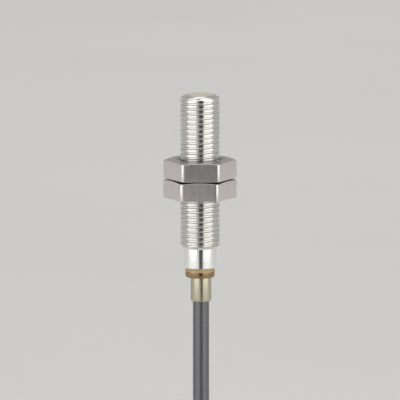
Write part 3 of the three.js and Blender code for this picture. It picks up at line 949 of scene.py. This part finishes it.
FERRULE_R = 0.75 * MM  # of its collar, which holds the core's insulation
TUBE_R = 0.64 * MM
TUBE_BORE_R = 0.42 * MM
COLLAR_LONG = 0.9 * MM
COLLAR_DEEP = 0.5 * MM
COLLAR_LIP = 0.06 * MM
FERRULE_EDGE = 0.08 * MM
FERRULE_END_DEEP = 0.15 * MM
FERRULE_SIDES = 32
GROOVES = 5
GROOVE_DEEP = 0.09 * MM
GROOVES_FROM = 0.3 * MM  # below the collar
UNGROOVED = 1.0 * MM  # length of the tube that the grooves leave free


def make_core(colour, side):
    """One stripped core's insulation, which fans out from the others."""
    low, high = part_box(f"core_end_{colour}")
    crimp_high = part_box(f"core_ferrule_{colour}")[1]
    top_z, bottom_z = high.z + CORE_IN_SHEATH, crimp_high.z - CORE_IN_FERRULE
    y = (low.y + high.y) / 2
    tuck = CORE_EDGE / (top_z - bottom_z)
    stations = [(0, CORE_R - CORE_EDGE), (tuck, CORE_R)]
    stations += [(i / CORE_STEPS, CORE_R) for i in range(1, CORE_STEPS)]
    stations += [(1 - tuck, CORE_R), (1, CORE_R - CORE_EDGE)]
    angles = [TAU * i / CORE_SIDES for i in range(CORE_SIDES)]
    rings = []
    for share, r in stations:
        x = side * (CORE_CLOSE_X + (CORE_SPREAD_X - CORE_CLOSE_X) * eased(share))
        z = top_z + (bottom_z - top_z) * share
        rings.append([(x + r * math.cos(a), y + r * math.sin(a), z) for a in angles])
    core = lofted(rings)
    return mesh_piece(f"stripped_core_{colour}", f"core_end_{colour}", core, f"core_{colour}")


def make_ferrule(colour):
    """The tube crimped on a core's end: a collar, then pressed grooves round the wire."""
    low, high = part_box(f"core_ferrule_{colour}")
    core_low, core_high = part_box(f"core_end_{colour}")
    x, y = (low.x + high.x) / 2, (core_low.y + core_high.y) / 2
    collar_z = high.z - COLLAR_LONG
    outline = [
        (TUBE_BORE_R, high.z - COLLAR_DEEP),
        (FERRULE_R - FERRULE_EDGE, high.z),
        (FERRULE_R, high.z - COLLAR_LIP),
        (FERRULE_R, high.z - COLLAR_LONG * 0.6),
        (TUBE_R, collar_z),
    ]
    pressed = high.z - low.z - COLLAR_LONG - UNGROOVED
    groove_pitch = pressed / GROOVES
    for groove in range(GROOVES):
        top = collar_z - GROOVES_FROM - pressed * groove / GROOVES
        outline += [
            (TUBE_R, top),
            (TUBE_R - GROOVE_DEEP, top - groove_pitch * 0.25),
            (TUBE_R - GROOVE_DEEP, top - groove_pitch * 0.6),
            (TUBE_R, top - groove_pitch * 0.85),
        ]
    outline += [
        (TUBE_R, low.z + FERRULE_EDGE),
        (TUBE_R - FERRULE_EDGE, low.z),
        (TUBE_BORE_R, low.z),
        (TUBE_BORE_R - 0.05 * MM, low.z + FERRULE_END_DEEP),
        (0, low.z + FERRULE_END_DEEP),
        (0, high.z - COLLAR_DEEP),
    ]
    ferrule = moved(turned(outline, FERRULE_SIDES), x, y)
    name, node = f"crimped_ferrule_{colour}", f"core_ferrule_{colour}"
    return mesh_piece(name, node, ferrule, "ferrule_tinned")


on_cable = [make_tie()]
for core_colour, core_side in CORES.items():
    on_cable += [make_core(core_colour, core_side), make_ferrule(core_colour)]

# ---- Floor, world, flag and softboxes ---------------------------------------------------------

COOL_WHITE = (1, 0.99, 0.985)
WARM_WHITE = (1, 0.985, 0.95)

FLOOR_Z = cad_low.z - 4 * MM
FLOOR_HALF = 8
STAGE_MOTTLE = 3  # cells per metre
FLOOR_GREYS = [(0.56, 0.56, 0.557), (0.59, 0.59, 0.587)]

TENT_SIDE = 0.54  # radiance of the white tent round the horizon
TENT_TOP = 2.1  # and straight above
TENT_RISE = (0.78, 0.9)  # upward part of the direction, where the one gives way to the other
TENT_WARMING = (-0.3, 0.3)  # its part to the right, from the cool white to the warm one

# Azimuths are in degrees round the barrel's axis: 0 is the camera's side and 90 the right.
BOX_FAR = 0.9
BOX_TOP = 0.75
BOX_RADIANCE = 1.12
LEFT_BOX = (-79, -22)
RIGHT_BOX = (22, 82)
FLAG_FAR = 0.42
FLAG_TOP = 0.17
FLAG_SPAN = (-7, 20)  # a little to the right of the middle, as the dark stripe is
FLAG_BLACKS = [(0.02, 0.02, 0.02), (0.03, 0.03, 0.03)]


def around(azimuth, distance, z):
    """A place round the barrel's axis."""
    a = math.radians(azimuth)
    return (distance * math.sin(a), -distance * math.cos(a), z)


def sheet(name, corners, shades, roughness):
    """A flat stage piece, mottled from the first shade to the second."""
    mesh = bpy.data.meshes.new(name)
    mesh.from_pydata(corners, [], [(0, 1, 2, 3)])
    made = bpy.data.objects.new(name, mesh)
    bpy.context.scene.collection.objects.link(made)
    finish = Finish(name, Roughness=roughness)
    finish.colour(finish.colours(finish.noise(STAGE_MOTTLE), *shades))
    mesh.materials.append(finish.material)
    return made


def make_floor():
    sides = [(-1, -1), (1, -1), (1, 1), (-1, 1)]
    corners = [(x * FLOOR_HALF, y * FLOOR_HALF, FLOOR_Z) for x, y in sides]
    sheet("floor", corners, FLOOR_GREYS, 0.8)


def make_flag():
    """A black card that the camera doesn't see, for the dark stripe down shiny round parts."""
    (x0, y0, _), (x1, y1, _) = (around(azimuth, FLAG_FAR, 0) for azimuth in FLAG_SPAN)
    corners = [(x0, y0, FLOOR_Z), (x1, y1, FLOOR_Z), (x1, y1, FLAG_TOP), (x0, y0, FLAG_TOP)]
    flag = sheet("front_flag", corners, FLAG_BLACKS, 0.9)
    flag.visible_camera = False


def make_world():
    """A soft white tent, brighter overhead and warmer on the right."""
    world = bpy.data.worlds.new("studio")
    bpy.context.scene.world = world
    world.use_nodes = True
    nodes, links = world.node_tree.nodes, world.node_tree.links
    direction = coordinate_parts(nodes, links, "Generated")
    strength = map_range(
        nodes, links, direction["Z"], *TENT_RISE, TENT_SIDE, TENT_TOP, "SMOOTHSTEP"
    )
    warmth = map_range(nodes, links, direction["X"], *TENT_WARMING, 0, 1, "SMOOTHSTEP")
    first, second, result = MIX_COLOURS
    tint = nodes.new("ShaderNodeMix")
    tint.data_type = "RGBA"
    tint.inputs[first].default_value = (*COOL_WHITE, 1)
    tint.inputs[second].default_value = (*WARM_WHITE, 1)
    links.new(warmth, tint.inputs[MIX_SHARE])
    background = nodes["Background"]
    links.new(tint.outputs[result], background.inputs["Color"])
    links.new(strength, background.inputs["Strength"])


def make_softbox(name, span, colour):
    """A soft white panel that stands on the floor and faces the barrel."""
    from_azimuth, to_azimuth = span
    middle = (from_azimuth + to_azimuth) / 2
    data = bpy.data.lights.new(name, "AREA")
    data.shape = "RECTANGLE"
    data.size = 2 * BOX_FAR * math.tan(math.radians(to_azimuth - from_azimuth) / 2)
    data.size_y = BOX_TOP - FLOOR_Z
    data.energy = BOX_RADIANCE * math.pi * data.size * data.size_y
    data.color = colour
    lamp = bpy.data.objects.new(name, data)
    lamp.location = around(middle, BOX_FAR, (FLOOR_Z + BOX_TOP) / 2)
    lamp.rotation_euler = (math.radians(90), 0, math.radians(middle))
    lamp.visible_camera = False
    bpy.context.scene.collection.objects.link(lamp)


make_floor()
make_world()
make_flag()
make_softbox("left_softbox", LEFT_BOX, COOL_WHITE)
make_softbox("right_softbox", RIGHT_BOX, WARM_WHITE)
bpy.context.scene.view_settings.view_transform = "Standard"
